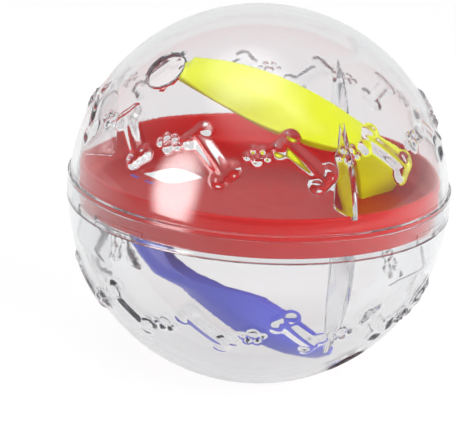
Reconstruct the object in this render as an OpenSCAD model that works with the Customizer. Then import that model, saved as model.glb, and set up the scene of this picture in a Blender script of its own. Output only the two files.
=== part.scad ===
// Treat ball: two clear half shells that close with a short twist,
// a red dividing tray held between moulded fins, and a treat ramp on each side of the tray.
// The origin is the centre of the ball, +Z is up and -Y is the front.

/* [Ball] */
// Outer diameter of the clear shells
ball_d = 150; // [120:1:190]
// Wall thickness of the clear shells
wall = 2.5; // [1.8:0.1:3.2]

/* [Closure] */
// Height of the belt above the middle of the ball
belt_above = 8; // [6.5:0.5:12]
// Depth of the belt below the middle of the ball
belt_below = 3; // [2.5:0.5:6]
// How far the belt stands out past the ball
belt_proud = 0.5; // [0.3:0.1:1.2]
// Bevel along the belt's two outer edges
belt_bevel = 0.5; // [0.2:0.1:0.8]
// Thickness of the skirt behind the belt
skirt_t = 2.1; // [1.8:0.1:3]
// Thickness of the lower shell's neck inside the skirt
neck_t = 1.9; // [1.5:0.1:3]
// Height of the neck above the middle of the ball
neck_top = 5; // [4:0.5:6]
// Clearance between the closed shells
shell_gap = 0.3; // [0.2:0.05:0.5]
// Number of bayonet lugs round the neck
lug_count = 3; // [2:1:4]
// Height that a lug stands out from the neck
lug_proud = 1.1; // [0.8:0.1:1.3]
// Height of a lug along the axis of the ball
lug_h = 2; // [1.4:0.1:2.4]
// Angle that a lug spans
lug_angle = 10; // [6:1:16]
// Angle from the open mark to the locked end
lock_angle = 20; // [12:1:30]
// Direction of the first lug, counted from the front
lug_azimuth = 60; // [0:5:120]

/* [Fins] */
// Number of fins that hold the tray in each shell
fin_count = 3; // [2:1:4]
// Thickness of a fin
fin_t = 2; // [1.4:0.1:3]
// How far a fin reaches in from the shell's wall
fin_depth = 15.5; // [10:0.5:20]
// Radius of a fin's inner corner by the tray
fin_corner = 2.5; // [1:0.5:4]
// Direction of the first fin, counted from the front
fin_azimuth = 30; // [20:1:40]

/* [Outlets] */
// Diameter of the hole that lets treats out of each shell
outlet_d = 16; // [12:0.5:22]
// Direction of the upper outlet, counted from the front
outlet_azimuth = -51; // [-60:1:-45]
// Height of the outlet as an angle above the middle of the ball
outlet_latitude = 49; // [44:0.5:52]

/* [Relief] */
// Number of bones round each shell, with a paw print between each two
bone_count = 12; // [6:1:12]
// Height that the bones and paw prints stand out from the ball
relief_h = 1.3; // [0.9:0.1:1.6]
// Length of a bone
bone_l = 26; // [22:0.5:27]
// Width of a bone across its knobs
bone_w = 13; // [11:0.5:13.5]
// Slant of a bone against the belt
bone_slant = 43; // [38:1:50]
// Width of a paw print
paw_w = 11; // [9:0.5:11.5]
// Height of the relief as an angle above the middle of the ball
relief_latitude = 27; // [25:0.5:28]
// Direction of the first bone, counted from the front
bone_azimuth = 14; // [0:1:29]

/* [Tray] */
// Thickness of the tray's floor
floor_t = 2.2; // [1.6:0.1:3.2]
// Thickness of the tray's rim
rim_t = 2; // [1.4:0.1:3]
// Height of the rim above the middle of the floor
rim_up = 13; // [9:0.5:16]
// Depth of the rim below the middle of the floor
rim_down = 2; // [1.8:0.1:4]
// Radius of the cove between the floor and the rim
cove_r = 4; // [2:0.5:6]
// Clearance round the tray
tray_gap = 0.5; // [0.3:0.05:0.8]
// Depth of the notches that key the tray to the upper fins
notch_depth = 1.5; // [1:0.1:3]
// Clearance of a fin in its notch and of the tray on the lower fins
fin_gap = 0.3; // [0.2:0.05:0.5]
// Side of the rounded opening that lets treats through the floor
pass_w = 22; // [16:0.5:26]
// Corner radius of the opening
pass_corner = 6; // [3:0.5:8]
// Distance from the foot of a ramp to the opening behind it
pass_setback = 4; // [3:0.5:6]

/* [Ramps] */
// Thickness of a ramp
ramp_t = 2; // [1.4:0.1:2.6]
// Depth of the lips along a ramp's edges
lip = 3.4; // [3:0.1:5]
// How far a ramp bows out between its lips
bow = 3.5; // [1:0.5:6]
// Length of the tabs that fix a ramp in the floor
tab_l = 5; // [3:0.5:7]
// Thickness of the tabs
tab_t = 1.4; // [1:0.1:1.4]
// Clearance of a tab in its slot
tab_gap = 0.1; // [0.05:0.05:0.3]

/* [Hidden] */
$fn = 96;

ball_r = ball_d / 2;
chamber_r = ball_r - wall;
belt_r = ball_r + belt_proud;
skirt_in_r = belt_r - skirt_t;
neck_r = skirt_in_r - shell_gap;
neck_in_r = neck_r - neck_t;
// The tray clears both the neck and the dome round the top of its rim
tray_r = min(neck_in_r, sqrt(pow(chamber_r, 2) - pow(rim_up, 2))) - tray_gap;
rim_in_r = tray_r - rim_t;
floor_top = floor_t / 2;
fin_in_r = chamber_r - fin_depth;
seam_z = -belt_below - shell_gap;
lug_out_r = neck_r + lug_proud;
// A cut reaches this far past the faces that it goes through
over = 1;
// Height of a tab inside the foot of its ramp
tab_root = 0.5;

// Edges of the upper ramp from its foot to its tip, as shares of the chamber radius.
// The far edge runs along the back of the ramp and the near edge along its front.
far_edge = [
    [0.79, 0.19, 0.075], [0.82, 0.17, 0.18], [0.76, 0.11, 0.27], [0.635, 0.03, 0.36],
    [0.50, -0.05, 0.465], [0.305, -0.13, 0.60], [0.07, -0.24, 0.725], [-0.165, -0.305, 0.80],
    [-0.37, -0.325, 0.82]];
near_edge = [
    [0.55, -0.057, 0.075], [0.53, -0.09, 0.165], [0.475, -0.19, 0.31], [0.36, -0.295, 0.375],
    [0.195, -0.325, 0.42], [0.015, -0.34, 0.472], [-0.19, -0.365, 0.567], [-0.34, -0.405, 0.66],
    [-0.44, -0.435, 0.74]];
// Ends of the line where the ramp stands on the floor, as shares of the chamber radius
foot_near = [0.565, -0.035];
foot_far = [0.74, 0.155];

ramp_steps = 4;
bow_steps = 8;

function on_floor(p) = [p[0] * chamber_r, p[1] * chamber_r, floor_top];
function edge_points(foot, shares) = concat([on_floor(foot)], [for (s = shares) s * chamber_r]);
far_points = edge_points(foot_far, far_edge);
near_points = edge_points(foot_near, near_edge);

// Point at parameter t on the smooth curve through a list of points
function curve_point(pts, t) =
    let (last = len(pts) - 1, i = min(floor(t), last - 1), u = t - i)
    let (p0 = pts[max(i - 1, 0)], p1 = pts[i], p2 = pts[i + 1], p3 = pts[min(i + 2, last)])
    0.5 * (2 * p1 + (p2 - p0) * u + (2 * p0 - 5 * p1 + 4 * p2 - p3) * u * u
        + (3 * p1 - p0 - 3 * p2 + p3) * u * u * u);

function unit(v) = v / norm(v);

// Closed outline of the ramp's section, across its width w and out from its edges
function section(w, lip_now, bow_now) = concat(
    [[0, -lip_now]],
    [for (k = [0:bow_steps]) [w * k / bow_steps, bow_now * sin(180 * k / bow_steps)]],
    [[w, -lip_now], [w - ramp_t, -lip_now]],
    [for (k = [bow_steps:-1:0])
        [ramp_t + (w - 2 * ramp_t) * k / bow_steps, bow_now * sin(180 * k / bow_steps) - ramp_t]],
    [[ramp_t, -lip_now]]);

// Depth of the lips at the foot, where they all but end
foot_lip = ramp_t + 0.2;

// One section of the ramp in space: flat on the floor at the foot, then square to its run.
// The lips and the bow grow from the foot, and the bow dies away towards the tip.
function ramp_ring(t) =
    let (last = len(far_points) - 1, d = 0.05)
    let (near = curve_point(near_points, t), far = curve_point(far_points, t))
    let (a = max(t - d, 0), b = min(t + d, last))
    let (ahead = curve_point(near_points, b) + curve_point(far_points, b)
        - curve_point(near_points, a) - curve_point(far_points, a))
    let (run = t == 0 ? [0, 0, 1] : unit(ahead))
    let (across = unit(far - near), out = unit(cross(across, run)))
    let (rise = min(t / 3, 1), fall = min((last - t) / 2, 1))
    let (lip_now = foot_lip + (lip - foot_lip) * rise, bow_now = bow * min(rise, fall))
    [for (q = section(norm(far - near), lip_now, bow_now)) near + q[0] * across + q[1] * out];

ramp_rings = [for (k = [0:ramp_steps * (len(far_points) - 1)]) ramp_ring(k / ramp_steps)];

// Turns its children to a direction counted from the front
module facing(azimuth) {
    rotate([0, 0, azimuth - 90]) children();
}

module above(z) {
    translate([-ball_d, -ball_d, z]) cube(2 * ball_d);
}

module outlet_bore() {
    facing(outlet_azimuth) rotate([0, 90 - outlet_latitude, 0])
        translate([0, 0, chamber_r - wall]) cylinder(d = outlet_d, h = 3 * wall);
}

// Arc of a ring between two radii and two heights, centred on a direction
module ring_arc(r1, r2, z1, z2, from, to) {
    facing(from) rotate_extrude(angle = to - from) translate([r1, z1]) square([r2 - r1, z2 - z1]);
}

// Outline of a fin between two heights, out from the axis of the ball
module fin_outline(low, high) {
    translate([fin_in_r + fin_corner, low]) square([fin_depth + wall, high - low]);
    translate([fin_in_r, low + fin_corner]) square([fin_depth, high - low - 2 * fin_corner]);
    for (z = [low + fin_corner, high - fin_corner])
        translate([fin_in_r + fin_corner, z]) circle(fin_corner);
}

// Fins between two heights, rooted inside the wall and short of the neck's outside
module fins(low, high) {
    for (k = [0:fin_count - 1]) facing(fin_azimuth + k * 360 / fin_count)
        intersection() {
            rotate([90, 0, 0]) linear_extrude(fin_t, center = true) fin_outline(low, high);
            sphere(r = chamber_r + wall / 2);
            translate([0, 0, low]) cylinder(r = neck_in_r + neck_t / 2, h = high - low);
        }
}

// Radius of the sphere that shows a dome of the relief's height, p from its middle to its edge
function dome_r(p) = (p * p + relief_h * relief_h) / (2 * relief_h);

// A dome of the relief, at distances along and across the ball's surface from +X
module dome(p, along, across) {
    rotate([0, 0, along / ball_r * 180 / PI]) rotate([0, -across / ball_r * 180 / PI, 0])
        translate([ball_r + relief_h - dome_r(p), 0, 0]) sphere(r = dome_r(p));
}

// A bone that lies along the ball's surface, with its middle on +X
module bone() {
    knob = 0.27 * bone_w;
    bar = 0.25 * bone_w;
    reach = bone_l / 2 - knob;
    turn = reach / ball_r * 180 / PI;
    rotate([0, 0, -turn]) rotate_extrude(angle = 2 * turn)
        translate([ball_r + relief_h - dome_r(bar), 0]) circle(dome_r(bar));
    for (along = [-reach, reach], side = [-1, 1]) dome(knob, along, side * (bone_w / 2 - knob));
}

// A paw print: a pad with four toes fanned above it
module paw() {
    toe = 0.14 * paw_w;
    fan = paw_w / 2 - toe;
    dome(0.22 * paw_w, 0, 0);
    for (turn = [-75, -25, 25, 75]) dome(toe, fan * sin(turn), fan * cos(turn));
}

module relief() {
    for (k = [0:bone_count - 1]) {
        at = bone_azimuth + k * 360 / bone_count;
        facing(at) rotate([0, -relief_latitude, 0]) rotate([-bone_slant, 0, 0]) bone();
        facing(at + 180 / bone_count) rotate([0, -relief_latitude, 0]) paw();
    }
}

module belt() {
    rotate_extrude() polygon([
        [skirt_in_r - over, -belt_below], [belt_r - belt_bevel, -belt_below],
        [belt_r, -belt_below + belt_bevel], [belt_r, belt_above - belt_bevel],
        [belt_r - belt_bevel, belt_above], [skirt_in_r - over, belt_above]]);
}

// L-shaped groove in the skirt: a way in from below, then a run to the locked end
module lug_grooves() {
    reach = lug_angle / 2 + atan(2 * shell_gap / neck_r);
    groove_r = lug_out_r + shell_gap;
    half_h = lug_h / 2 + shell_gap;
    for (k = [0:lug_count - 1]) {
        at = lug_azimuth + k * 360 / lug_count;
        ring_arc(skirt_in_r - over, groove_r, -belt_below - over, half_h, at - reach, at + reach);
        ring_arc(skirt_in_r - over, groove_r, -half_h, half_h, at - reach, at + reach + lock_angle);
    }
}

module upper_shell() {
    color([0.93, 0.94, 0.95, 0.35]) {
        difference() {
            union() {
                intersection() {
                    sphere(r = ball_r);
                    above(0);
                }
                belt();
                relief();
            }
            intersection() {
                sphere(r = chamber_r);
                above(neck_top);
            }
            translate([0, 0, -belt_below - over])
                cylinder(r = skirt_in_r, h = belt_below + over + neck_top + shell_gap);
            lug_grooves();
            outlet_bore();
        }
        fins(rim_up - notch_depth + fin_gap, ball_r);
    }
}

module lower_shell() {
    color([0.93, 0.94, 0.95, 0.35]) {
        difference() {
            union() {
                difference() {
                    sphere(r = ball_r);
                    above(seam_z);
                }
                rotate([0, 180, 0]) relief();
                translate([0, 0, seam_z - over]) cylinder(r = neck_r, h = neck_top - seam_z + over);
                for (k = [0:lug_count - 1]) {
                    at = lug_azimuth + k * 360 / lug_count;
                    ring_arc(neck_r - neck_t / 2, lug_out_r, -lug_h / 2, lug_h / 2,
                        at - lug_angle / 2, at + lug_angle / 2);
                }
            }
            intersection() {
                sphere(r = chamber_r);
                translate([0, 0, -ball_r]) cylinder(r = neck_in_r, h = ball_d);
            }
            rotate([0, 180, 0]) outlet_bore();
        }
        fins(-ball_r, -rim_down - fin_gap);
    }
}

// Places its children in the frame of a ramp's foot: X along the foot, Y behind it
module at_foot() {
    near = on_floor(foot_near);
    far = on_floor(foot_far);
    translate([near[0], near[1], 0])
        rotate([0, 0, atan2(far[1] - near[1], far[0] - near[0])]) children();
}

foot_l = norm(on_floor(foot_far) - on_floor(foot_near));

// Tabs under the middle of the foot's thickness, which run a little way up into it
module foot_tabs(gap) {
    for (share = [0.25, 0.75])
        translate([foot_l * share - tab_l / 2 - gap, (ramp_t - tab_t) / 2 - gap, -floor_top])
            cube([tab_l + 2 * gap, tab_t + 2 * gap, floor_t + tab_root]);
}

module rounded_square(side, corner) {
    translate([corner, 0]) square([side - 2 * corner, side]);
    translate([0, corner]) square([side, side - 2 * corner]);
    for (x = [corner, side - corner], y = [corner, side - corner])
        translate([x, y]) circle(corner);
}

module floor_cuts() {
    at_foot() {
        translate([foot_l / 2 - pass_w / 2, ramp_t + pass_setback, -floor_t])
            linear_extrude(2 * floor_t) rounded_square(pass_w, pass_corner);
        foot_tabs(tab_gap);
    }
}

module divider_tray() {
    color([0.8, 0.1, 0.09]) difference() {
        union() {
            translate([0, 0, -floor_top]) cylinder(r = tray_r - rim_t / 2, h = floor_t);
            rotate_extrude() {
                translate([rim_in_r, -rim_down]) square([rim_t, rim_up + rim_down - rim_t / 2]);
                translate([tray_r - rim_t / 2, rim_up - rim_t / 2]) circle(rim_t / 2);
                translate([rim_in_r - cove_r, floor_top]) difference() {
                    square(cove_r + rim_t / 2);
                    translate([0, cove_r]) circle(cove_r);
                    translate([-over, cove_r]) square(2 * cove_r + rim_t);
                }
            }
        }
        floor_cuts();
        rotate([0, 180, 0]) floor_cuts();
        for (k = [0:fin_count - 1]) facing(fin_azimuth + k * 360 / fin_count)
            translate([rim_in_r - over, -fin_t / 2 - fin_gap, rim_up - notch_depth])
                cube([rim_t + 2 * over, fin_t + 2 * fin_gap, notch_depth + over]);
    }
}

module ramp() {
    count = len(ramp_rings[0]);
    rings = len(ramp_rings);
    polyhedron(
        points = [for (ring = ramp_rings) each ring],
        faces = concat(
            [[for (j = [0:count - 1]) j]],
            [for (i = [0:rings - 2], j = [0:count - 1])
                [i * count + j, (i + 1) * count + j, (i + 1) * count + (j + 1) % count]],
            [for (i = [0:rings - 2], j = [0:count - 1])
                [i * count + j, (i + 1) * count + (j + 1) % count, i * count + (j + 1) % count]],
            [[for (j = [count - 1:-1:0]) (rings - 1) * count + j]]));
    at_foot() foot_tabs(0);
}

module upper_ramp() {
    color([0.87, 0.84, 0.02]) ramp();
}

// The same moulding as the upper ramp, turned over under the tray
module lower_ramp() {
    color([0.25, 0.27, 0.72]) rotate([0, 180, 0]) ramp();
}

lower_shell();
upper_shell();
divider_tray();
upper_ramp();
lower_ramp();
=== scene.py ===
import math

import bpy
from bpy.props import FloatProperty, FloatVectorProperty, IntProperty, PointerProperty
from mathutils import Matrix, Quaternion, Vector


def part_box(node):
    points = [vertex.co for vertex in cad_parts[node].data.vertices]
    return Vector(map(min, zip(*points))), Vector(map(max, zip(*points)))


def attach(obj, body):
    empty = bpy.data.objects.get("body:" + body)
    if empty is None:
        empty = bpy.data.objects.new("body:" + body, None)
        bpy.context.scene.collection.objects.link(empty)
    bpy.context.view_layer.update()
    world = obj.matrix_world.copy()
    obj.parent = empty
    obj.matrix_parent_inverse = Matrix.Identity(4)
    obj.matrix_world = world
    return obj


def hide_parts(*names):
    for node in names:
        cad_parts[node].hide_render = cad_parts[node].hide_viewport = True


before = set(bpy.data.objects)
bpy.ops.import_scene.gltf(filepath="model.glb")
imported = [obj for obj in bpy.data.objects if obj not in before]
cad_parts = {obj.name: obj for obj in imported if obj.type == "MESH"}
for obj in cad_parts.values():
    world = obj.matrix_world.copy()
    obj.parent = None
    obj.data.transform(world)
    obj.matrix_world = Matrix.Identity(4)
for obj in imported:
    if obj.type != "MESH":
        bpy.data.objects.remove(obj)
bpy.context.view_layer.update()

bl_info = {
    "name": "Treat Ball",
    "version": (1, 0, 0),
    "blender": (4, 5, 0),
    "location": "View3D > Sidebar > Treat Ball",
    "description": "Dresses the packed treat ball: clear shells, red tray and two curved ramps",
    "category": "Add Mesh",
}

BALL_R = -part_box("lower_shell")[0].z
MM = 0.001
MERGE = 1e-6
ON_SURFACE = 1e-5


def size(name, description, default, **more):
    """A length that the user can change."""
    return FloatProperty(name=name, description=description, default=default, unit="LENGTH",
                         precision=5, **more)


def angle(name, description, degrees):
    """An angle that the user can change."""
    return FloatProperty(name=name, description=description, default=math.radians(degrees),
                         subtype="ANGLE")


def colour(name, description, default):
    """A colour that the user can change."""
    return FloatVectorProperty(name=name, description=description, default=default, size=3,
                               subtype="COLOR", min=0, max=1)


class ShellSizes(bpy.types.PropertyGroup):
    """Sizes of the two clear shells"""
    ball_r: size("Ball radius", "Outer radius of the shells", BALL_R)
    wall: size("Wall", "Thickness of the shells", 2.5 * MM)
    belt_above: size("Belt above", "Height of the belt above the middle", 8 * MM)
    belt_below: size("Belt below", "Depth of the belt below the middle", 3 * MM)
    belt_proud: size("Belt proud", "How far the belt stands out", 0.5 * MM)
    skirt_t: size("Skirt", "Thickness of the skirt behind the belt", 2.1 * MM)
    neck_t: size("Neck", "Thickness of the lower shell's neck", 1.9 * MM)
    neck_top: size("Neck top", "Height of the neck above the middle", 5 * MM)
    gap: size("Gap", "Clearance between the closed shells", 0.3 * MM)
    lug_proud: size("Lug height", "How far a lug stands out from the neck", 1.1 * MM)
    lug_h: size("Lug width", "Height of a lug along the axis", 2 * MM)
    lug_angle: angle("Lug angle", "Angle that a lug spans", 10)
    lock_angle: angle("Lock angle", "Angle from the open mark to the locked end", 20)
    lug_azimuth: angle("Lug direction", "Direction of the first lug from the front", 60)
    fin_t: size("Fin", "Thickness of a fin", 2 * MM)
    fin_depth: size("Fin depth", "How far a fin reaches in", 15.5 * MM)
    fin_corner: size("Fin corner", "Radius of a fin's inner corner", 2.5 * MM)
    fin_azimuth: angle("Fin direction", "Direction of the first fin from the front", 30)
    outlet_r: size("Outlet radius", "Radius of the outlet holes", 8 * MM)
    outlet_azimuth: angle("Outlet direction", "Direction of the upper outlet", -51)
    outlet_latitude: angle("Outlet height", "Height of the outlet above the middle", 49)
    steps: IntProperty(name="Steps", description="Facets round a shell", default=660, min=60)


class ReliefSizes(bpy.types.PropertyGroup):
    """Sizes of the bones and paw prints on the shells"""
    count: IntProperty(name="Bones", description="Bones round each shell", default=12, min=6)
    height: size("Height", "How far the relief stands out", 1.3 * MM)
    bone_l: size("Bone length", "Length of a bone", 26 * MM)
    bone_w: size("Bone width", "Width of a bone across its knobs", 13 * MM)
    slant: angle("Slant", "Slant of a bone against the belt", 43)
    paw_w: size("Paw width", "Width of a paw print", 11 * MM)
    latitude: angle("Latitude", "Height of the band of relief above the middle", 27)
    azimuth: angle("Direction", "Direction of the first bone from the front", 14)
    edge: size("Edge", "Width of the rounded edge of the relief", 3.2 * MM)


class TraySizes(bpy.types.PropertyGroup):
    """Sizes of the red tray"""
    radius: size("Radius", "Outer radius of the rim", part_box("divider_tray")[1].x)
    floor_t: size("Floor", "Thickness of the floor", 2.2 * MM)
    rim_t: size("Rim", "Thickness of the rim", 2 * MM)
    rim_up: size("Rim top", "Height of the rim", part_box("divider_tray")[1].z)
    rim_down: size("Rim bottom", "Depth of the rim below the floor's middle", 2 * MM)
    cove_r: size("Cove", "Radius between floor and rim", 4 * MM)
    notch: size("Notch", "Depth of the notches for the fins", 1.5 * MM)
    notch_gap: size("Notch gap", "Clearance of a fin in its notch", 0.3 * MM)
    pass_w: size("Opening", "Side of the openings in the floor", 22 * MM)
    pass_corner: size("Opening corner", "Corner radius of the openings", 6 * MM)
    pass_setback: size("Setback", "From a ramp's foot to the opening behind it", 4 * MM)


class RampSizes(bpy.types.PropertyGroup):
    """Sizes of the two ramps"""
    thickness: size("Thickness", "Thickness of a ramp", 2 * MM)
    lip: size("Lip", "Depth of the lips along the edges", 3.4 * MM)
    bow: size("Bow", "How far a ramp bows out between its lips", 3.5 * MM)
    corner: size("Corner", "Radius between ramp and lip", 1.2 * MM)
    inner_corner: size("Inner corner", "Radius between ramp and lip underneath", 0.6 * MM)
    soft: size("Soft edge", "Radius along the free edges", 0.42 * MM)
    tab_l: size("Tab length", "Length of the tabs that fix a ramp in the floor", 5 * MM)
    tab_t: size("Tab", "Thickness of the tabs", 1.4 * MM)
    tab_gap: size("Tab gap", "Clearance of a tab in its slot", 0.1 * MM)
    tab_root: size("Tab root", "Height of a tab inside the foot", 0.5 * MM)


class BallColours(bpy.types.PropertyGroup):
    """Colours of the plastics"""
    clear: colour("Clear", "Tint of the shells", (0.952, 0.955, 0.96))
    red: colour("Red", "Colour of the tray", (0.54, 0.01, 0.01))
    yellow: colour("Yellow", "Colour of the upper ramp", (0.64, 0.69, 0.006))
    blue: colour("Blue", "Colour of the lower ramp", (0.11, 0.12, 0.62))


# Edges of the upper ramp from its foot to its tip, as shares of the chamber's radius
FAR_EDGE = [
    (0.79, 0.19, 0.075), (0.82, 0.17, 0.18), (0.76, 0.11, 0.27), (0.635, 0.03, 0.36),
    (0.50, -0.05, 0.465), (0.305, -0.13, 0.60), (0.07, -0.24, 0.725), (-0.165, -0.305, 0.80),
    (-0.37, -0.325, 0.82)]
NEAR_EDGE = [
    (0.55, -0.057, 0.075), (0.53, -0.09, 0.165), (0.475, -0.19, 0.31), (0.36, -0.295, 0.375),
    (0.195, -0.325, 0.42), (0.015, -0.34, 0.472), (-0.19, -0.365, 0.567), (-0.34, -0.405, 0.66),
    (-0.44, -0.435, 0.74)]
FOOT_NEAR = (0.565, -0.035)
FOOT_FAR = (0.74, 0.155)
FIN_COUNT = 3
LUG_COUNT = 3

# Facets; the lugs' number is odd, so that no cut falls on a line of the shell's own facets
LUG_STEPS = 11
OUTLET_STEPS = 96
TRAY_STEPS = 288
TOP_ROWS, RELIEF_ROWS, LOW_ROWS, INSIDE_ROWS = 24, 52, 6, 30
FIN_ROWS, FIN_CORNER_ROWS = 24, 8
RIM_ROWS, COVE_ROWS, FLOOR_ROWS, OPENING_CORNER_ROWS = 12, 10, 6, 8
RAMP_ROWS, RAMP_COLUMNS = 8, 16
RAMP_CORNER, RAMP_INNER_CORNER, RAMP_SOFT_EDGE = 5, 4, 3

# Angles past which an edge is shaded sharp, in degrees
SHELL_CREASE, TRAY_CREASE, RAMP_CREASE, BEVEL_CREASE = 38, 35, 50, 40

# Lamps: name, azimuth, elevation, distance, width, height, watts, seen in gloss and glass, on matt
LAMPS = (
    ("key_softbox", -52, 20, 0.95, 0.7, 0.8, 6.4, False, True),
    ("veil_softbox", -50, 11, 0.95, 0.62, 1.05, 15, True, False),
    ("top_softbox", -90, 80, 0.9, 0.95, 0.85, 3.4, True, True),
    ("sky_softbox", -8, 70, 0.95, 1.15, 1.15, 4.6, True, False),
    ("fill_softbox", 62, 28, 1.1, 0.7, 0.9, 5, False, True),
    ("front_softbox", 50, 22, 1.2, 0.8, 0.8, 28, False, True))

# The camera at the photo's angle: elevation and roll in degrees, distance in metres
CAMERA_ELEVATION, CAMERA_ROLL, CAMERA_DISTANCE = 17.8, 3.65, 0.9375
CAMERA_LENS, CAMERA_SHIFT = 187.3, (-0.0671, -0.0512)
LIGHT_BOUNCES, CLEAR_BOUNCES = 80, 24


def only(obj):
    """Makes an object the only selected one."""
    bpy.ops.object.select_all(action="DESELECT")
    obj.select_set(True)
    bpy.context.view_layer.objects.active = obj


def outline(name, points, fill="NOTHING"):
    """A ring of vertices moved onto a list of points, closed from the last to the first."""
    bpy.ops.object.select_all(action="DESELECT")
    bpy.ops.mesh.primitive_circle_add(vertices=len(points), radius=BALL_R, fill_type=fill)
    obj = bpy.context.object
    obj.name = obj.data.name = name
    for vertex, point in zip(obj.data.vertices, points):
        vertex.co = point
    return obj


def edit(obj):
    """Opens an object for editing with all of it selected."""
    only(obj)
    bpy.ops.object.mode_set(mode="EDIT")
    bpy.ops.mesh.select_all(action="SELECT")


def close():
    """Merges doubles, turns the faces outwards and leaves edit mode."""
    bpy.ops.mesh.select_all(action="SELECT")
    bpy.ops.mesh.remove_doubles(threshold=MERGE)
    bpy.ops.mesh.normals_make_consistent(inside=False)
    bpy.ops.object.mode_set(mode="OBJECT")


def apply(obj, kind, **values):
    """Adds a modifier and applies it."""
    only(obj)
    modifier = obj.modifiers.new(kind.lower(), kind)
    for key, value in values.items():
        setattr(modifier, key, value)
    bpy.ops.object.modifier_apply(modifier=modifier.name)


def combine(obj, other, operation):
    """Joins another closed mesh to an object, or cuts it away, and removes it."""
    apply(obj, "BOOLEAN", object=other, operation=operation, solver="MANIFOLD")
    bpy.data.objects.remove(other)


def join(objects, name):
    """Joins several objects into one."""
    bpy.ops.object.select_all(action="DESELECT")
    for obj in objects:
        obj.select_set(True)
    bpy.context.view_layer.objects.active = objects[0]
    bpy.ops.object.join()
    objects[0].name = objects[0].data.name = name
    return objects[0]


def turned_copies(obj, count, first):
    """Copies of an object round the axis, the first in a direction counted from the front."""
    made = []
    for k in range(count):
        copy = obj.copy()
        copy.data = obj.data.copy()
        bpy.context.scene.collection.objects.link(copy)
        copy.data.transform(Matrix.Rotation(first + k * math.tau / count - math.pi / 2, 4, "Z"))
        made.append(copy)
    bpy.data.objects.remove(obj)
    return made


def arc(radius, start, end, count):
    """Points (r, z) on a circle about the origin, from one latitude to another."""
    return [(radius * math.cos(a), radius * math.sin(a))
            for a in (start + (end - start) * k / count for k in range(count + 1))]


def spun(name, profile, steps):
    """Turns an open profile of (r, z) points, with both ends on the axis, once round the axis."""
    obj = outline(name, [(r, 0, z) for r, z in profile])
    edit(obj)
    bpy.ops.mesh.select_mode(type="EDGE")
    bpy.ops.mesh.select_all(action="DESELECT")
    bpy.ops.object.mode_set(mode="OBJECT")
    last = len(profile) - 1
    for edge in obj.data.edges:
        edge.select = set(edge.vertices) == {0, last}
    bpy.ops.object.mode_set(mode="EDIT")
    bpy.ops.mesh.delete(type="EDGE_FACE")
    bpy.ops.mesh.select_mode(type="VERT")
    bpy.ops.object.mode_set(mode="OBJECT")
    apply(obj, "SCREW", axis="Z", angle=math.tau, steps=steps, render_steps=steps,
          use_merge_vertices=True, merge_threshold=MERGE)
    edit(obj)
    close()
    return obj


def spun_block(name, corners, reach, steps):
    """A block of (r, z) corners turned about the axis, to the same reach on both sides of +X."""
    obj = outline(name, [(r, 0, z) for r, z in corners])
    obj.data.transform(Matrix.Rotation(reach, 4, "Z"))
    edit(obj)
    bpy.ops.mesh.spin(steps=steps, angle=2 * reach, center=(0, 0, 0), axis=(0, 0, 1))
    bpy.ops.mesh.select_all(action="SELECT")
    bpy.ops.mesh.remove_doubles(threshold=MERGE)
    bpy.ops.mesh.select_all(action="SELECT")
    bpy.ops.mesh.fill_holes(sides=len(corners))
    close()
    middle = sum((v.co.y for v in obj.data.vertices)) / len(obj.data.vertices)
    if abs(middle) > 0.1 * MM:
        raise RuntimeError(name + " was spun the other way")
    return obj


def plate(name, points, thickness, bevel):
    """A plate of (r, z) points, centred on the XZ plane, with softened edges."""
    obj = outline(name, [(r, -thickness / 2, z) for r, z in points], fill="NGON")
    edit(obj)
    bpy.ops.mesh.extrude_region_move(TRANSFORM_OT_translate={"value": (0, thickness, 0)})
    close()
    apply(obj, "BEVEL", width=bevel, segments=2, limit_method="ANGLE",
          angle_limit=math.radians(BEVEL_CREASE))
    return obj


def smooth(obj, degrees):
    """Shades an object smooth, with sharp edges past an angle."""
    only(obj)
    bpy.ops.object.shade_smooth_by_angle(angle=math.radians(degrees))


def dress(obj, material, body, node):
    """Gives a finished piece its material and its body, and hides the CAD node that it stands for.
    """
    obj.data.materials.clear()
    obj.data.materials.append(material)
    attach(obj, body)
    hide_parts(node)


def soft_least(a, b, blend):
    """The lesser of two distances, with a fillet where they are close."""
    h = max(blend - abs(a - b), 0) / blend
    return min(a, b) - h * h * blend / 4


def bone_distance(u, v, relief):
    """Distance from the outline of a bone, at u to the right of its middle and v above it."""
    along = abs(u * math.cos(relief.slant) - v * math.sin(relief.slant))
    across = abs(u * math.sin(relief.slant) + v * math.cos(relief.slant))
    knob = 0.27 * relief.bone_w
    reach = relief.bone_l / 2 - knob
    bar = math.hypot(max(along - reach, 0), across) - 0.25 * relief.bone_w
    end = math.hypot(along - reach, across - (relief.bone_w / 2 - knob)) - knob
    return soft_least(bar, end, 1.2 * MM)


def paw_distance(u, v, relief):
    """Distance from the outline of a paw print: a pad with four toes fanned above it."""
    toe = 0.14 * relief.paw_w
    fan = relief.paw_w / 2 - toe
    nearest = math.hypot(u, v) - 0.22 * relief.paw_w
    for turn in (-75, -25, 25, 75):
        a = math.radians(turn)
        nearest = min(nearest, math.hypot(u - fan * math.sin(a), v - fan * math.cos(a)) - toe)
    return nearest


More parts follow.
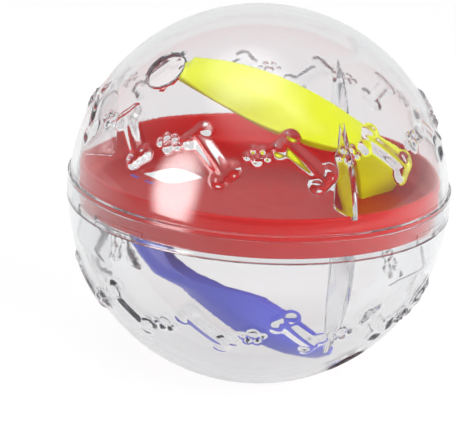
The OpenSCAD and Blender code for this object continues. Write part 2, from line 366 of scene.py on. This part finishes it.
def relief_weight(point, relief, radius):
    """Share of the relief's height at a point on the upper shell's outside."""
    azimuth = math.atan2(point.x, -point.y)
    latitude = math.atan2(point.z, math.hypot(point.x, point.y))
    pitch = math.tau / relief.count
    weight = 0.0
    paw_edge, start = 0.6 * relief.edge, 0.06
    for shape, first, edge in ((bone_distance, relief.azimuth, relief.edge),
                               (paw_distance, relief.azimuth + pitch / 2, paw_edge)):
        turn = azimuth - first
        turn -= pitch * round(turn / pitch)
        x, y, z = (math.cos(latitude) * math.cos(turn), math.cos(latitude) * math.sin(turn),
                   math.sin(latitude))
        out = x * math.cos(relief.latitude) + z * math.sin(relief.latitude)
        up = z * math.cos(relief.latitude) - x * math.sin(relief.latitude)
        inside = -shape(radius * math.atan2(y, out), radius * math.atan2(up, out), relief)
        t = min(max(inside / edge + start, 0), 1)
        weight = max(weight, 0.5 * t * (2 - t) + 0.5 * t * t * (3 - 2 * t))
    return weight


def emboss(shell, sizes, relief, flip):
    """Raises the bones and paw prints on a shell's outside."""
    group = shell.vertex_groups.new(name="relief")
    for vertex in shell.data.vertices:
        p = vertex.co
        if abs(p.length - sizes.ball_r) < ON_SURFACE and abs(p.z) > sizes.belt_above:
            weight = relief_weight(Vector((flip * p.x, p.y, flip * p.z)), relief, sizes.ball_r)
            if weight > 0:
                group.add([vertex.index], weight, "REPLACE")
    apply(shell, "DISPLACE", strength=relief.height, mid_level=0, vertex_group="relief")


def dome_rows(sizes, relief, low):
    """Latitudes down a shell's outside, close together where the relief is."""
    reach = math.radians(14)
    top, bottom = relief.latitude + reach, relief.latitude - reach
    return (arc(sizes.ball_r, math.pi / 2, top, TOP_ROWS)
            + arc(sizes.ball_r, top, bottom, RELIEF_ROWS)[1:]
            + arc(sizes.ball_r, bottom, low, LOW_ROWS)[1:])


def fins(sizes, outer, corner_z, side):
    """Three fins that end inside the wall; side is 1 above the tray and -1 below it."""
    inner, r = sizes.ball_r - sizes.wall - sizes.fin_depth, sizes.fin_corner
    rounded = [(inner + r - r * math.sin(a), corner_z + side * (r - r * math.cos(a)))
               for a in (math.pi / 2 * k / FIN_CORNER_ROWS for k in range(FIN_CORNER_ROWS + 1))]
    fin = plate("fin", outer + rounded[::-1], sizes.fin_t, 0.25 * MM)
    return join(turned_copies(fin, FIN_COUNT, sizes.fin_azimuth), "fins")


def outlet_cutter(sizes, flip):
    """The outlet's bore, with a small bevel at the inside and the outside of the wall."""
    r, bevel, far = sizes.outlet_r, 0.5 * MM, 1.5 * MM
    outside = math.sqrt(sizes.ball_r ** 2 - r * r)
    inside = math.sqrt((sizes.ball_r - sizes.wall) ** 2 - r * r)
    cutter = spun("outlet", [
        (0, inside - far), (r + bevel + far, inside - far), (r, inside + bevel),
        (r, outside - bevel), (r + bevel + far, outside + far), (0, outside + far)],
        OUTLET_STEPS)
    cutter.data.transform(Matrix.Rotation(flip, 4, "Y")
                          @ Matrix.Rotation(sizes.outlet_azimuth - math.pi / 2, 4, "Z")
                          @ Matrix.Rotation(math.pi / 2 - sizes.outlet_latitude, 4, "Y"))
    return cutter


def lug_blocks(sizes, r1, r2, z1, z2, reach, centre):
    """Three curved blocks round the axis, for the lugs or their grooves."""
    block = spun_block("lug", [(r1, z1), (r2, z1), (r2, z2), (r1, z2)], reach, LUG_STEPS)
    return join(turned_copies(block, LUG_COUNT, sizes.lug_azimuth + centre), "lugs")


def closure_radii(sizes):
    """Inside of the skirt, and the outside and inside of the neck."""
    skirt_in = sizes.ball_r + sizes.belt_proud - sizes.skirt_t
    neck = skirt_in - sizes.gap
    return skirt_in, neck, neck - sizes.neck_t


class TREATBALL_OT_upper_shell(bpy.types.Operator):
    """Model the clear upper shell with its belt, fins, outlet and relief"""
    bl_idname = "treat_ball.upper_shell"
    bl_label = "Upper Shell"

    def execute(self, context):
        sizes, relief = context.scene.ball_shell, context.scene.ball_relief
        skirt_in, neck, _ = closure_radii(sizes)
        chamber, belt_r = sizes.ball_r - sizes.wall, sizes.ball_r + sizes.belt_proud
        bevel, soft = 0.5 * MM, 0.2 * MM
        step_z = sizes.neck_top + sizes.gap
        top, low = sizes.belt_above, -sizes.belt_below
        profile = dome_rows(sizes, relief, math.asin(top / sizes.ball_r))
        profile += [(belt_r - bevel, top), (belt_r, top - bevel), (belt_r, low + bevel),
                    (belt_r - bevel, low), (skirt_in + soft, low), (skirt_in, low + soft),
                    (skirt_in, step_z)]
        profile += arc(chamber, math.asin(step_z / chamber), math.pi / 2, INSIDE_ROWS)
        shell = spun("upper_shell_clear", profile, sizes.steps)
        emboss(shell, sizes, relief, 1)
        middle = sizes.ball_r - sizes.wall / 2
        foot = context.scene.ball_tray.rim_up - context.scene.ball_tray.notch + sizes.gap
        inner = chamber - sizes.fin_depth
        edge = arc(middle, math.asin(foot / middle), math.acos(inner / middle), FIN_ROWS)
        combine(shell, fins(sizes, edge, foot, 1), "UNION")
        groove_r = neck + sizes.lug_proud + sizes.gap
        half_h = sizes.lug_h / 2 + sizes.gap
        reach = sizes.lug_angle / 2 + math.atan(2 * sizes.gap / neck)
        # The way in stays a hair inside the run, so that no two cuts share a face
        hair = 0.05 * MM
        way_in = lug_blocks(sizes, skirt_in - MM, groove_r - hair, low - MM, 0, reach, 0)
        combine(shell, way_in, "DIFFERENCE")
        half_lock = sizes.lock_angle / 2
        run = lug_blocks(sizes, skirt_in - 1.3 * MM, groove_r, -half_h, half_h,
                         reach + half_lock + hair / neck, half_lock)
        combine(shell, run, "DIFFERENCE")
        combine(shell, outlet_cutter(sizes, 0), "DIFFERENCE")
        smooth(shell, SHELL_CREASE)
        dress(shell, clear_plastic(context), "upper_half", "upper_shell")
        return {"FINISHED"}


class TREATBALL_OT_lower_shell(bpy.types.Operator):
    """Model the clear lower shell with its neck, lugs, fins, outlet and relief"""
    bl_idname = "treat_ball.lower_shell"
    bl_label = "Lower Shell"

    def execute(self, context):
        sizes, relief = context.scene.ball_shell, context.scene.ball_relief
        _, neck, neck_in = closure_radii(sizes)
        chamber, soft = sizes.ball_r - sizes.wall, 0.25 * MM
        seam = -sizes.belt_below - sizes.gap
        profile = [(r, -z) for r, z in dome_rows(sizes, relief, math.asin(-seam / sizes.ball_r))]
        profile += [(neck, seam), (neck, sizes.neck_top - soft), (neck - soft, sizes.neck_top),
                    (neck_in + soft, sizes.neck_top), (neck_in, sizes.neck_top - soft)]
        profile += arc(chamber, -math.acos(neck_in / chamber), -math.pi / 2, INSIDE_ROWS)
        shell = spun("lower_shell_clear", profile, sizes.steps)
        emboss(shell, sizes, relief, -1)
        middle, neck_mid = sizes.ball_r - sizes.wall / 2, neck_in + sizes.neck_t / 2
        top = -context.scene.ball_tray.rim_down - sizes.gap
        inner = chamber - sizes.fin_depth
        edge = [(neck_mid, top)] + arc(middle, -math.acos(neck_mid / middle),
                                       -math.acos(inner / middle), FIN_ROWS)
        combine(shell, fins(sizes, edge, top, -1), "UNION")
        lugs = lug_blocks(sizes, neck - sizes.neck_t / 2, neck + sizes.lug_proud,
                          -sizes.lug_h / 2, sizes.lug_h / 2, sizes.lug_angle / 2, 0)
        combine(shell, lugs, "UNION")
        combine(shell, outlet_cutter(sizes, math.pi), "DIFFERENCE")
        smooth(shell, SHELL_CREASE)
        dress(shell, clear_plastic(context), "lower_half", "lower_shell")
        return {"FINISHED"}


def at_foot(flip):
    """Matrix of a ramp's foot: X along the foot, Y behind it."""
    chamber = bpy.context.scene.ball_shell.ball_r - bpy.context.scene.ball_shell.wall
    near, far = Vector(FOOT_NEAR) * chamber, Vector(FOOT_FAR) * chamber
    run = far - near
    return (Matrix.Rotation(flip, 4, "Y") @ Matrix.Translation((near.x, near.y, 0))
            @ Matrix.Rotation(math.atan2(run.y, run.x), 4, "Z"), run.length)


def foot_tabs(context, flip, gap, below):
    """The two tabs under a ramp's foot, or their slots with a gap and a reach below the floor."""
    sizes, floor_t = context.scene.ball_ramp, context.scene.ball_tray.floor_t
    place, length = at_foot(flip)
    front = (sizes.thickness - sizes.tab_t) / 2 - gap
    back = front + sizes.tab_t + 2 * gap
    made = []
    for share in (0.25, 0.75):
        left = share * length - sizes.tab_l / 2 - gap
        right = left + sizes.tab_l + 2 * gap
        low = -floor_t / 2 - below
        tab = outline("tab", [(left, front, low), (right, front, low), (right, back, low),
                              (left, back, low)], fill="NGON")
        edit(tab)
        bpy.ops.mesh.extrude_region_move(
            TRANSFORM_OT_translate={"value": (0, 0, floor_t + sizes.tab_root + below)})
        close()
        made.append(tab)
    tabs = join(made, "tabs")
    tabs.data.transform(place)
    return tabs


class TREATBALL_OT_tray(bpy.types.Operator):
    """Model the red tray with its rim, notches and floor openings"""
    bl_idname = "treat_ball.tray"
    bl_label = "Tray"

    def execute(self, context):
        tray, shells = context.scene.ball_tray, context.scene.ball_shell
        outer, inner = tray.radius, tray.radius - tray.rim_t
        half, round_r, soft = tray.floor_t / 2, tray.rim_t / 2, 0.3 * MM
        rows = [(inner - tray.cove_r) * k / FLOOR_ROWS for k in range(FLOOR_ROWS)]
        profile = [(r, half) for r in rows]
        profile += [(inner - tray.cove_r + tray.cove_r * math.sin(a),
                     half + tray.cove_r - tray.cove_r * math.cos(a))
                    for a in (math.pi / 2 * k / COVE_ROWS for k in range(COVE_ROWS + 1))]
        profile += [(outer - round_r - round_r * math.cos(a),
                     tray.rim_up - round_r + round_r * math.sin(a))
                    for a in (math.pi * k / RIM_ROWS for k in range(RIM_ROWS + 1))]
        profile += [(outer, -tray.rim_down + soft), (outer - soft, -tray.rim_down),
                    (inner + soft, -tray.rim_down), (inner, -tray.rim_down + soft), (inner, -half)]
        profile += [(r, -half) for r in rows[::-1]]
        body = spun("tray_red", profile, TRAY_STEPS)
        for flip in (0, math.pi):
            place, length = at_foot(flip)
            corner = tray.pass_corner
            far = tray.pass_w / 2 - corner
            points = [(sx * far + corner * math.cos(a), sy * far + corner * math.sin(a))
                      for sx, sy, first in ((1, 1, 0), (-1, 1, 1), (-1, -1, 2), (1, -1, 3))
                      for a in (math.pi / 2 * (first + k / OPENING_CORNER_ROWS)
                                for k in range(OPENING_CORNER_ROWS + 1))]
            hole = outline("opening", [(x, y, -3 * half) for x, y in points], fill="NGON")
            edit(hole)
            bpy.ops.mesh.extrude_region_move(TRANSFORM_OT_translate={"value": (0, 0, 6 * half)})
            close()
            ramp_t = context.scene.ball_ramp.thickness
            hole.data.transform(place @ Matrix.Translation(
                (length / 2, ramp_t + tray.pass_setback + tray.pass_w / 2, 0)))
            combine(body, hole, "DIFFERENCE")
            slots = foot_tabs(context, flip, context.scene.ball_ramp.tab_gap, MM)
            combine(body, slots, "DIFFERENCE")
        low = tray.rim_up - tray.notch
        notch = plate("notch", [(inner - MM, low), (outer + MM, low), (outer + MM, low + 4 * MM),
                                (inner - MM, low + 4 * MM)],
                      shells.fin_t + 2 * tray.notch_gap, 0.2 * MM)
        combine(body, join(turned_copies(notch, FIN_COUNT, shells.fin_azimuth), "notches"),
                "DIFFERENCE")
        smooth(body, TRAY_CREASE)
        dress(body, coloured_plastic("red_moulding", context.scene.ball_colours.red), "insert",
              "divider_tray")
        return {"FINISHED"}


def curve_point(points, t):
    """Point at parameter t on the smooth curve through a list of points."""
    last = len(points) - 1
    i = min(int(t), last - 1)
    u = t - i
    p0, p1, p2, p3 = (points[max(i - 1, 0)], points[i], points[i + 1], points[min(i + 2, last)])
    return 0.5 * (2 * p1 + (p2 - p0) * u + (2 * p0 - 5 * p1 + 4 * p2 - p3) * u * u
                  + (3 * p1 - p0 - 3 * p2 + p3) * u * u * u)


def ramp_section(width, lip, bow, sizes):
    """Closed outline of the ramp's section: over the top from lip to lip, and back underneath."""
    thick, corner = sizes.thickness, sizes.corner
    inner = min(sizes.inner_corner, 0.5 * (lip - thick))
    inner_soft = min(sizes.soft, 0.3 * (lip - thick))

    def crown(x):
        return bow * math.sin(math.pi * x / width)

    def side(x, top, r, steps, soft, way):
        """Round a lip's edge, up its wall at x and round the corner, r in radius, to the top."""
        end = top(x + r)
        edge = [(x + way * soft * (1 - math.sin(a)), soft * (1 - math.cos(a)) - lip)
                for a in (math.pi / 2 * k / RAMP_SOFT_EDGE for k in range(RAMP_SOFT_EDGE + 1))]
        rounded = [(x + t * t * r, end + (1 - t) ** 2 * (top(x) - r - end))
                   for t in (k / steps for k in range(steps + 1))]
        return edge + rounded

    def half_way(x, r):
        return [x + r + (width - 2 * x - 2 * r) * k / RAMP_COLUMNS for k in range(1, RAMP_COLUMNS)]

    def mirrored(points):
        return [(width - x, y) for x, y in points[::-1]]

    def under(x):
        return bow * math.sin(math.pi * (x - thick) / (width - 2 * thick)) - thick

    over_side = side(0, crown, corner, RAMP_CORNER, sizes.soft, 1)
    under_side = side(thick, under, inner, RAMP_INNER_CORNER, inner_soft, -1)
    over = over_side + [(x, crown(x)) for x in half_way(0, corner)] + mirrored(over_side)
    below = under_side + [(x, under(x)) for x in half_way(thick, inner)] + mirrored(under_side)
    return over + below[::-1]


def ramp_rows(context):
    """Sections of the ramp in space, from its foot to its tip."""
    sizes, tray = context.scene.ball_ramp, context.scene.ball_tray
    chamber = context.scene.ball_shell.ball_r - context.scene.ball_shell.wall
    floor = tray.floor_t / 2

    def points(foot, shares):
        return [Vector((foot[0] * chamber, foot[1] * chamber, floor))] + [
            Vector(s) * chamber for s in shares]

    near_line, far_line = points(FOOT_NEAR, NEAR_EDGE), points(FOOT_FAR, FAR_EDGE)
    last, foot_lip, rows = len(far_line) - 1, sizes.thickness + 0.2 * MM, []
    step, rise_span, fall_span = 0.05, 3, 2
    for k in range(RAMP_ROWS * last + 1):
        t = k / RAMP_ROWS
        near, far = curve_point(near_line, t), curve_point(far_line, t)
        a, b = max(t - step, 0), min(t + step, last)
        ahead = (curve_point(near_line, b) + curve_point(far_line, b)
                 - curve_point(near_line, a) - curve_point(far_line, a))
        run = Vector((0, 0, 1)) if t == 0 else ahead.normalized()
        across = (far - near).normalized()
        out = across.cross(run).normalized()
        rise, fall = min(t / rise_span, 1), min((last - t) / fall_span, 1)
        section = ramp_section((far - near).length, foot_lip + (sizes.lip - foot_lip) * rise,
                               sizes.bow * min(rise, fall), sizes)
        rows.append([near + x * across + y * out for x, y in section])
    return rows


class TREATBALL_OT_ramps(bpy.types.Operator):
    """Model the yellow ramp and turn a copy of it over for the blue one"""
    bl_idname = "treat_ball.ramps"
    bl_label = "Ramps"

    def execute(self, context):
        rows = [row + row[:1] for row in ramp_rows(context)]
        bpy.ops.object.select_all(action="DESELECT")
        bpy.ops.mesh.primitive_grid_add(x_subdivisions=len(rows[0]) - 1,
                                        y_subdivisions=len(rows) - 1, size=BALL_R)
        upper = context.object
        upper.name = upper.data.name = "ramp_yellow"
        for vertex, point in zip(upper.data.vertices, [p for row in rows for p in row]):
            vertex.co = point
        tip = upper.vertex_groups.new(name="tip")
        tip.add([v.index for v in upper.data.vertices[-len(rows[0]):]], 1, "REPLACE")
        edit(upper)
        bpy.ops.mesh.remove_doubles(threshold=MERGE)
        bpy.ops.mesh.select_all(action="SELECT")
        bpy.ops.mesh.fill_holes(sides=len(rows[0]))
        close()
        apply(upper, "BEVEL", width=0.8 * context.scene.ball_ramp.soft, segments=RAMP_SOFT_EDGE,
              limit_method="VGROUP", vertex_group="tip")
        combine(upper, foot_tabs(context, 0, 0, 0), "UNION")
        smooth(upper, RAMP_CREASE)
        lower = upper.copy()
        lower.data = upper.data.copy()
        lower.name = lower.data.name = "ramp_blue"
        context.scene.collection.objects.link(lower)
        lower.data.transform(Matrix.Rotation(math.pi, 4, "Y"))
        colours = context.scene.ball_colours
        dress(upper, coloured_plastic("yellow_moulding", colours.yellow), "insert", "upper_ramp")
        dress(lower, coloured_plastic("blue_moulding", colours.blue), "insert", "lower_ramp")
        return {"FINISHED"}


def wire(tree, source, target):
    """Links one socket to another."""
    tree.links.new(source, target)


def moulded_finish():
    """Node group of a moulded surface: a faint mottle, uneven gloss and slight waves."""
    name = "moulded_finish"
    if name in bpy.data.node_groups:
        return bpy.data.node_groups[name]
    tree = bpy.data.node_groups.new(name, "ShaderNodeTree")
    face = tree.interface
    face.new_socket("Vector", in_out="INPUT", socket_type="NodeSocketVector")
    face.new_socket("Colour", in_out="INPUT", socket_type="NodeSocketColor")
    face.new_socket("Shade", in_out="INPUT", socket_type="NodeSocketColor")
    for label, default in (("Roughness", 0.2), ("Spread", 0.08)):
        socket = face.new_socket(label, in_out="INPUT", socket_type="NodeSocketFloat")
        socket.default_value = default
    face.new_socket("Colour", in_out="OUTPUT", socket_type="NodeSocketColor")
    face.new_socket("Roughness", in_out="OUTPUT", socket_type="NodeSocketFloat")
    face.new_socket("Height", in_out="OUTPUT", socket_type="NodeSocketFloat")
    nodes = tree.nodes
    given, put = nodes.new("NodeGroupInput"), nodes.new("NodeGroupOutput")

    def noise(scale, detail):
        node = nodes.new("ShaderNodeTexNoise")
        node.inputs["Scale"].default_value = scale
        node.inputs["Detail"].default_value = detail
        wire(tree, given.outputs["Vector"], node.inputs["Vector"])
        return node.outputs["Fac"]

    mix = nodes.new("ShaderNodeMix")
    mix.data_type = "RGBA"
    wire(tree, noise(38, 4), mix.inputs["Factor"])
    wire(tree, given.outputs["Colour"], mix.inputs["A"])
    wire(tree, given.outputs["Shade"], mix.inputs["B"])
    wire(tree, mix.outputs["Result"], put.inputs["Colour"])
    uneven = nodes.new("ShaderNodeMath")
    uneven.operation = "MULTIPLY_ADD"
    wire(tree, noise(170, 5), uneven.inputs[0])
    wire(tree, given.outputs["Spread"], uneven.inputs[1])
    wire(tree, given.outputs["Roughness"], uneven.inputs[2])
    wire(tree, uneven.outputs[0], put.inputs["Roughness"])
    waves = nodes.new("ShaderNodeMath")
    waves.operation = "MULTIPLY_ADD"
    wire(tree, noise(900, 2), waves.inputs[0])
    waves.inputs[1].default_value = 0.12
    wire(tree, noise(55, 1), waves.inputs[2])
    wire(tree, waves.outputs[0], put.inputs["Height"])
    return tree


def finish_nodes(material, tint, shade, roughness, spread, bump):
    """Places the moulded finish in a material and returns its Principled shader."""
    tree = material.node_tree
    shader = tree.nodes["Principled BSDF"]
    place = tree.nodes.new("ShaderNodeTexCoord")
    group = tree.nodes.new("ShaderNodeGroup")
    group.node_tree = moulded_finish()
    wire(tree, place.outputs["Object"], group.inputs["Vector"])
    group.inputs["Colour"].default_value = (*tint, 1)
    group.inputs["Shade"].default_value = (*shade, 1)
    group.inputs["Roughness"].default_value = roughness
    group.inputs["Spread"].default_value = spread
    height = tree.nodes.new("ShaderNodeBump")
    height.inputs["Strength"].default_value = bump
    height.inputs["Distance"].default_value = 0.4 * MM
    wire(tree, group.outputs["Height"], height.inputs["Height"])
    wire(tree, group.outputs["Colour"], shader.inputs["Base Color"])
    wire(tree, group.outputs["Roughness"], shader.inputs["Roughness"])
    wire(tree, height.outputs["Normal"], shader.inputs["Normal"])
    return shader


def coloured_plastic(name, tint):
    """Glossy moulded plastic of one colour."""
    material = bpy.data.materials.new(name)
    material.use_nodes = True
    shader = finish_nodes(material, tint, [0.86 * c for c in tint], roughness=0.26, spread=0.14,
                          bump=0.3)
    shader.inputs["IOR"].default_value = 1.5
    shader.inputs["Specular IOR Level"].default_value = 0.3
    return material


def clear_plastic(context):
    """Clear moulded plastic that lets the lamps through to what is inside."""
    name = "clear_moulding"
    if name in bpy.data.materials:
        return bpy.data.materials[name]
    material = bpy.data.materials.new(name)
    material.use_nodes = True
    tint = context.scene.ball_colours.clear
    shader = finish_nodes(material, tint, [0.985 * c for c in tint], roughness=0, spread=0.05,
                          bump=0.12)
    shader.inputs["IOR"].default_value = 1.49
    shader.inputs["Transmission Weight"].default_value = 1
    tree = material.node_tree
    rays = tree.nodes.new("ShaderNodeLightPath")
    through = tree.nodes.new("ShaderNodeBsdfTransparent")
    either, mix = tree.nodes.new("ShaderNodeMath"), tree.nodes.new("ShaderNodeMixShader")
    either.operation = "MAXIMUM"
    wire(tree, rays.outputs["Is Shadow Ray"], either.inputs[0])
    wire(tree, rays.outputs["Is Diffuse Ray"], either.inputs[1])
    wire(tree, either.outputs[0], mix.inputs["Fac"])
    wire(tree, shader.outputs["BSDF"], mix.inputs[1])
    through.inputs["Color"].default_value = (0.95, 0.95, 0.955, 1)
    wire(tree, through.outputs["BSDF"], mix.inputs[2])
    output, depth = tree.nodes["Material Output"], tree.nodes.new("ShaderNodeVolumeAbsorption")
    depth.inputs["Color"].default_value = (0.42, 0.46, 0.5, 1)
    depth.inputs["Density"].default_value = 16
    wire(tree, mix.outputs["Shader"], output.inputs["Surface"])
    wire(tree, depth.outputs["Volume"], output.inputs["Volume"])
    return material


def seen_rays(tree):
    """1 for rays that show the stage itself: from the camera, off gloss or through glass."""
    rays = tree.nodes.new("ShaderNodeLightPath")
    value = rays.outputs["Is Camera Ray"]
    for label in ("Is Glossy Ray", "Is Transmission Ray"):
        either = tree.nodes.new("ShaderNodeMath")
        either.operation = "MAXIMUM"
        wire(tree, value, either.inputs[0])
        wire(tree, rays.outputs[label], either.inputs[1])
        value = either.outputs[0]
    return value


def between(tree, value, low, high):
    """A number that goes from low to high as a mask goes from 0 to 1."""
    node = tree.nodes.new("ShaderNodeMapRange")
    wire(tree, value, node.inputs["Value"])
    node.inputs["To Min"].default_value = low
    node.inputs["To Max"].default_value = high
    return node.outputs["Result"]


def glow_by_ray(tree, position, dimming, camera, diffuse):
    """Stage glow: even for the camera and matt surfaces, dimmed along Y in gloss and glass."""
    split, dim = tree.nodes.new("ShaderNodeSeparateXYZ"), tree.nodes.new("ShaderNodeMapRange")
    wire(tree, position, split.inputs["Vector"])
    wire(tree, split.outputs["Y"], dim.inputs["Value"])
    for label, value in zip(("From Min", "From Max", "To Min", "To Max"), dimming):
        dim.inputs[label].default_value = value
    rays, plain = tree.nodes.new("ShaderNodeLightPath"), tree.nodes.new("ShaderNodeMath")
    plain.operation = "MAXIMUM"
    wire(tree, dim.outputs["Result"], plain.inputs[0])
    wire(tree, between(tree, rays.outputs["Is Camera Ray"], 0, camera), plain.inputs[1])
    pick = tree.nodes.new("ShaderNodeMix")
    wire(tree, seen_rays(tree), pick.inputs["Factor"])
    pick.inputs["A"].default_value = diffuse
    wire(tree, plain.outputs[0], pick.inputs["B"])
    return pick.outputs["Result"]


def floor_paper():
    """White paper that shows as white and keeps the object's shadow."""
    material = bpy.data.materials.new("floor_paper")
    material.use_nodes = True
    tree = material.node_tree
    shader = tree.nodes["Principled BSDF"]
    grain = tree.nodes.new("ShaderNodeTexNoise")
    grain.inputs["Scale"].default_value = 4
    wire(tree, between(tree, grain.outputs["Fac"], 0.85, 1.0), shader.inputs["Roughness"])
    shader.inputs["Base Color"].default_value = (0.2, 0.2, 0.2, 1)
    shader.inputs["Specular IOR Level"].default_value = 0
    shader.inputs["Emission Color"].default_value = (1, 1, 1, 1)
    place = tree.nodes.new("ShaderNodeTexCoord")
    glow = glow_by_ray(tree, place.outputs["Object"], (-0.3, 0.1, 0.25, 0.81),
                       camera=0.83, diffuse=0.55)
    wire(tree, glow, shader.inputs["Emission Strength"])
    return material


def studio_world(scene):
    """Soft even light, white for the camera, and darker towards the viewer in gloss and glass."""
    world = bpy.data.worlds.new("studio")
    scene.world = world
    world.use_nodes = True
    tree = world.node_tree
    back = tree.nodes["Background"]
    back.inputs["Color"].default_value = (1, 1, 1, 1)
    place = tree.nodes.new("ShaderNodeTexCoord")
    glow = glow_by_ray(tree, place.outputs["Generated"], (-0.4, 0.5, 0.14, 0.88),
                       camera=1, diffuse=0.5)
    wire(tree, glow, back.inputs["Strength"])


def softbox(name, azimuth, elevation, distance, width, height, watts):
    """An area lamp that looks at the ball from a direction counted from the front."""
    a, e = math.radians(azimuth), math.radians(elevation)
    at = distance * Vector((math.sin(a) * math.cos(e), -math.cos(a) * math.cos(e), math.sin(e)))
    bpy.ops.object.light_add(type="AREA", location=at,
                             rotation=(-at).to_track_quat("-Z", "Y").to_euler())
    lamp = bpy.context.object
    lamp.name = name
    lamp.data.shape = "ELLIPSE"
    lamp.data.size, lamp.data.size_y, lamp.data.energy = width, height, watts
    lamp.data.use_nodes = True
    tree = lamp.data.node_tree
    across = tree.nodes.new("ShaderNodeNewGeometry")
    middle = tree.nodes.new("ShaderNodeVectorMath")
    middle.operation = "DISTANCE"
    middle.inputs[1].default_value = (0.5, 0.5, 0)
    wire(tree, across.outputs["Parametric"], middle.inputs[0])
    fade = tree.nodes.new("ShaderNodeMapRange")
    fade.interpolation_type = "SMOOTHSTEP"
    for label, value in (("From Min", 0.2), ("From Max", 0.5), ("To Min", 1), ("To Max", 0)):
        fade.inputs[label].default_value = value
    wire(tree, middle.outputs["Value"], fade.inputs["Value"])
    wire(tree, fade.outputs["Result"], tree.nodes["Emission"].inputs["Strength"])
    return lamp


class TREATBALL_OT_stage(bpy.types.Operator):
    """Set up the floor, the lamps, the white surroundings and the camera"""
    bl_idname = "treat_ball.stage"
    bl_label = "Stage"

    def execute(self, context):
        scene = context.scene
        bpy.ops.object.select_all(action="DESELECT")
        bpy.ops.mesh.primitive_grid_add(x_subdivisions=8, y_subdivisions=8, size=8)
        floor = context.object
        floor.name = "floor"
        floor.data.transform(Matrix.Translation((0, 0, -scene.ball_shell.ball_r)))
        floor.data.materials.append(floor_paper())
        studio_world(scene)
        for *lamp_values, in_gloss, on_matt in LAMPS:
            lamp = softbox(*lamp_values)
            lamp.visible_glossy = lamp.visible_transmission = in_gloss
            lamp.visible_diffuse = on_matt
        elevation = math.radians(CAMERA_ELEVATION)
        at = CAMERA_DISTANCE * Vector((0, -math.cos(elevation), math.sin(elevation)))
        bpy.ops.object.camera_add(location=at)
        camera = context.object
        camera.rotation_mode = "QUATERNION"
        camera.rotation_quaternion = ((-at).to_track_quat("-Z", "Y")
                                      @ Quaternion((0, 0, 1), math.radians(CAMERA_ROLL)))
        camera.data.sensor_width, camera.data.lens = 36, CAMERA_LENS
        camera.data.shift_x, camera.data.shift_y = CAMERA_SHIFT
        camera.data.clip_end = 50
        scene.camera = camera
        scene.view_settings.view_transform = "Standard"
        scene.cycles.max_bounces = LIGHT_BOUNCES
        scene.cycles.glossy_bounces = LIGHT_BOUNCES
        scene.cycles.transmission_bounces = LIGHT_BOUNCES
        scene.cycles.transparent_max_bounces = CLEAR_BOUNCES
        return {"FINISHED"}


STEPS_IN_ORDER = (TREATBALL_OT_lower_shell, TREATBALL_OT_upper_shell, TREATBALL_OT_tray,
                  TREATBALL_OT_ramps, TREATBALL_OT_stage)


class TREATBALL_PT_panel(bpy.types.Panel):
    """Lists the pieces of the treat ball"""
    bl_idname = "TREATBALL_PT_panel"
    bl_label = "Treat Ball"
    bl_space_type = "VIEW_3D"
    bl_region_type = "UI"
    bl_category = "Treat Ball"

    def draw(self, context):
        for step in STEPS_IN_ORDER:
            self.layout.operator(step.bl_idname)
        for label in GROUPS:
            box = self.layout.box()
            settings = getattr(context.scene, label)
            for key in settings.__annotations__:
                box.prop(settings, key)


GROUPS = {"ball_shell": ShellSizes, "ball_relief": ReliefSizes, "ball_tray": TraySizes,
          "ball_ramp": RampSizes, "ball_colours": BallColours}
CLASSES = (*GROUPS.values(), *STEPS_IN_ORDER, TREATBALL_PT_panel)


def register():
    for cls in CLASSES:
        bpy.utils.register_class(cls)
    for label, group in GROUPS.items():
        setattr(bpy.types.Scene, label, PointerProperty(type=group))


def unregister():
    for label in GROUPS:
        delattr(bpy.types.Scene, label)
    for cls in reversed(CLASSES):
        bpy.utils.unregister_class(cls)


def main():
    register()
    bpy.ops.treat_ball.lower_shell()
    bpy.ops.treat_ball.upper_shell()
    bpy.ops.treat_ball.tray()
    bpy.ops.treat_ball.ramps()
    bpy.ops.treat_ball.stage()


if __name__ == "__main__":
    main()
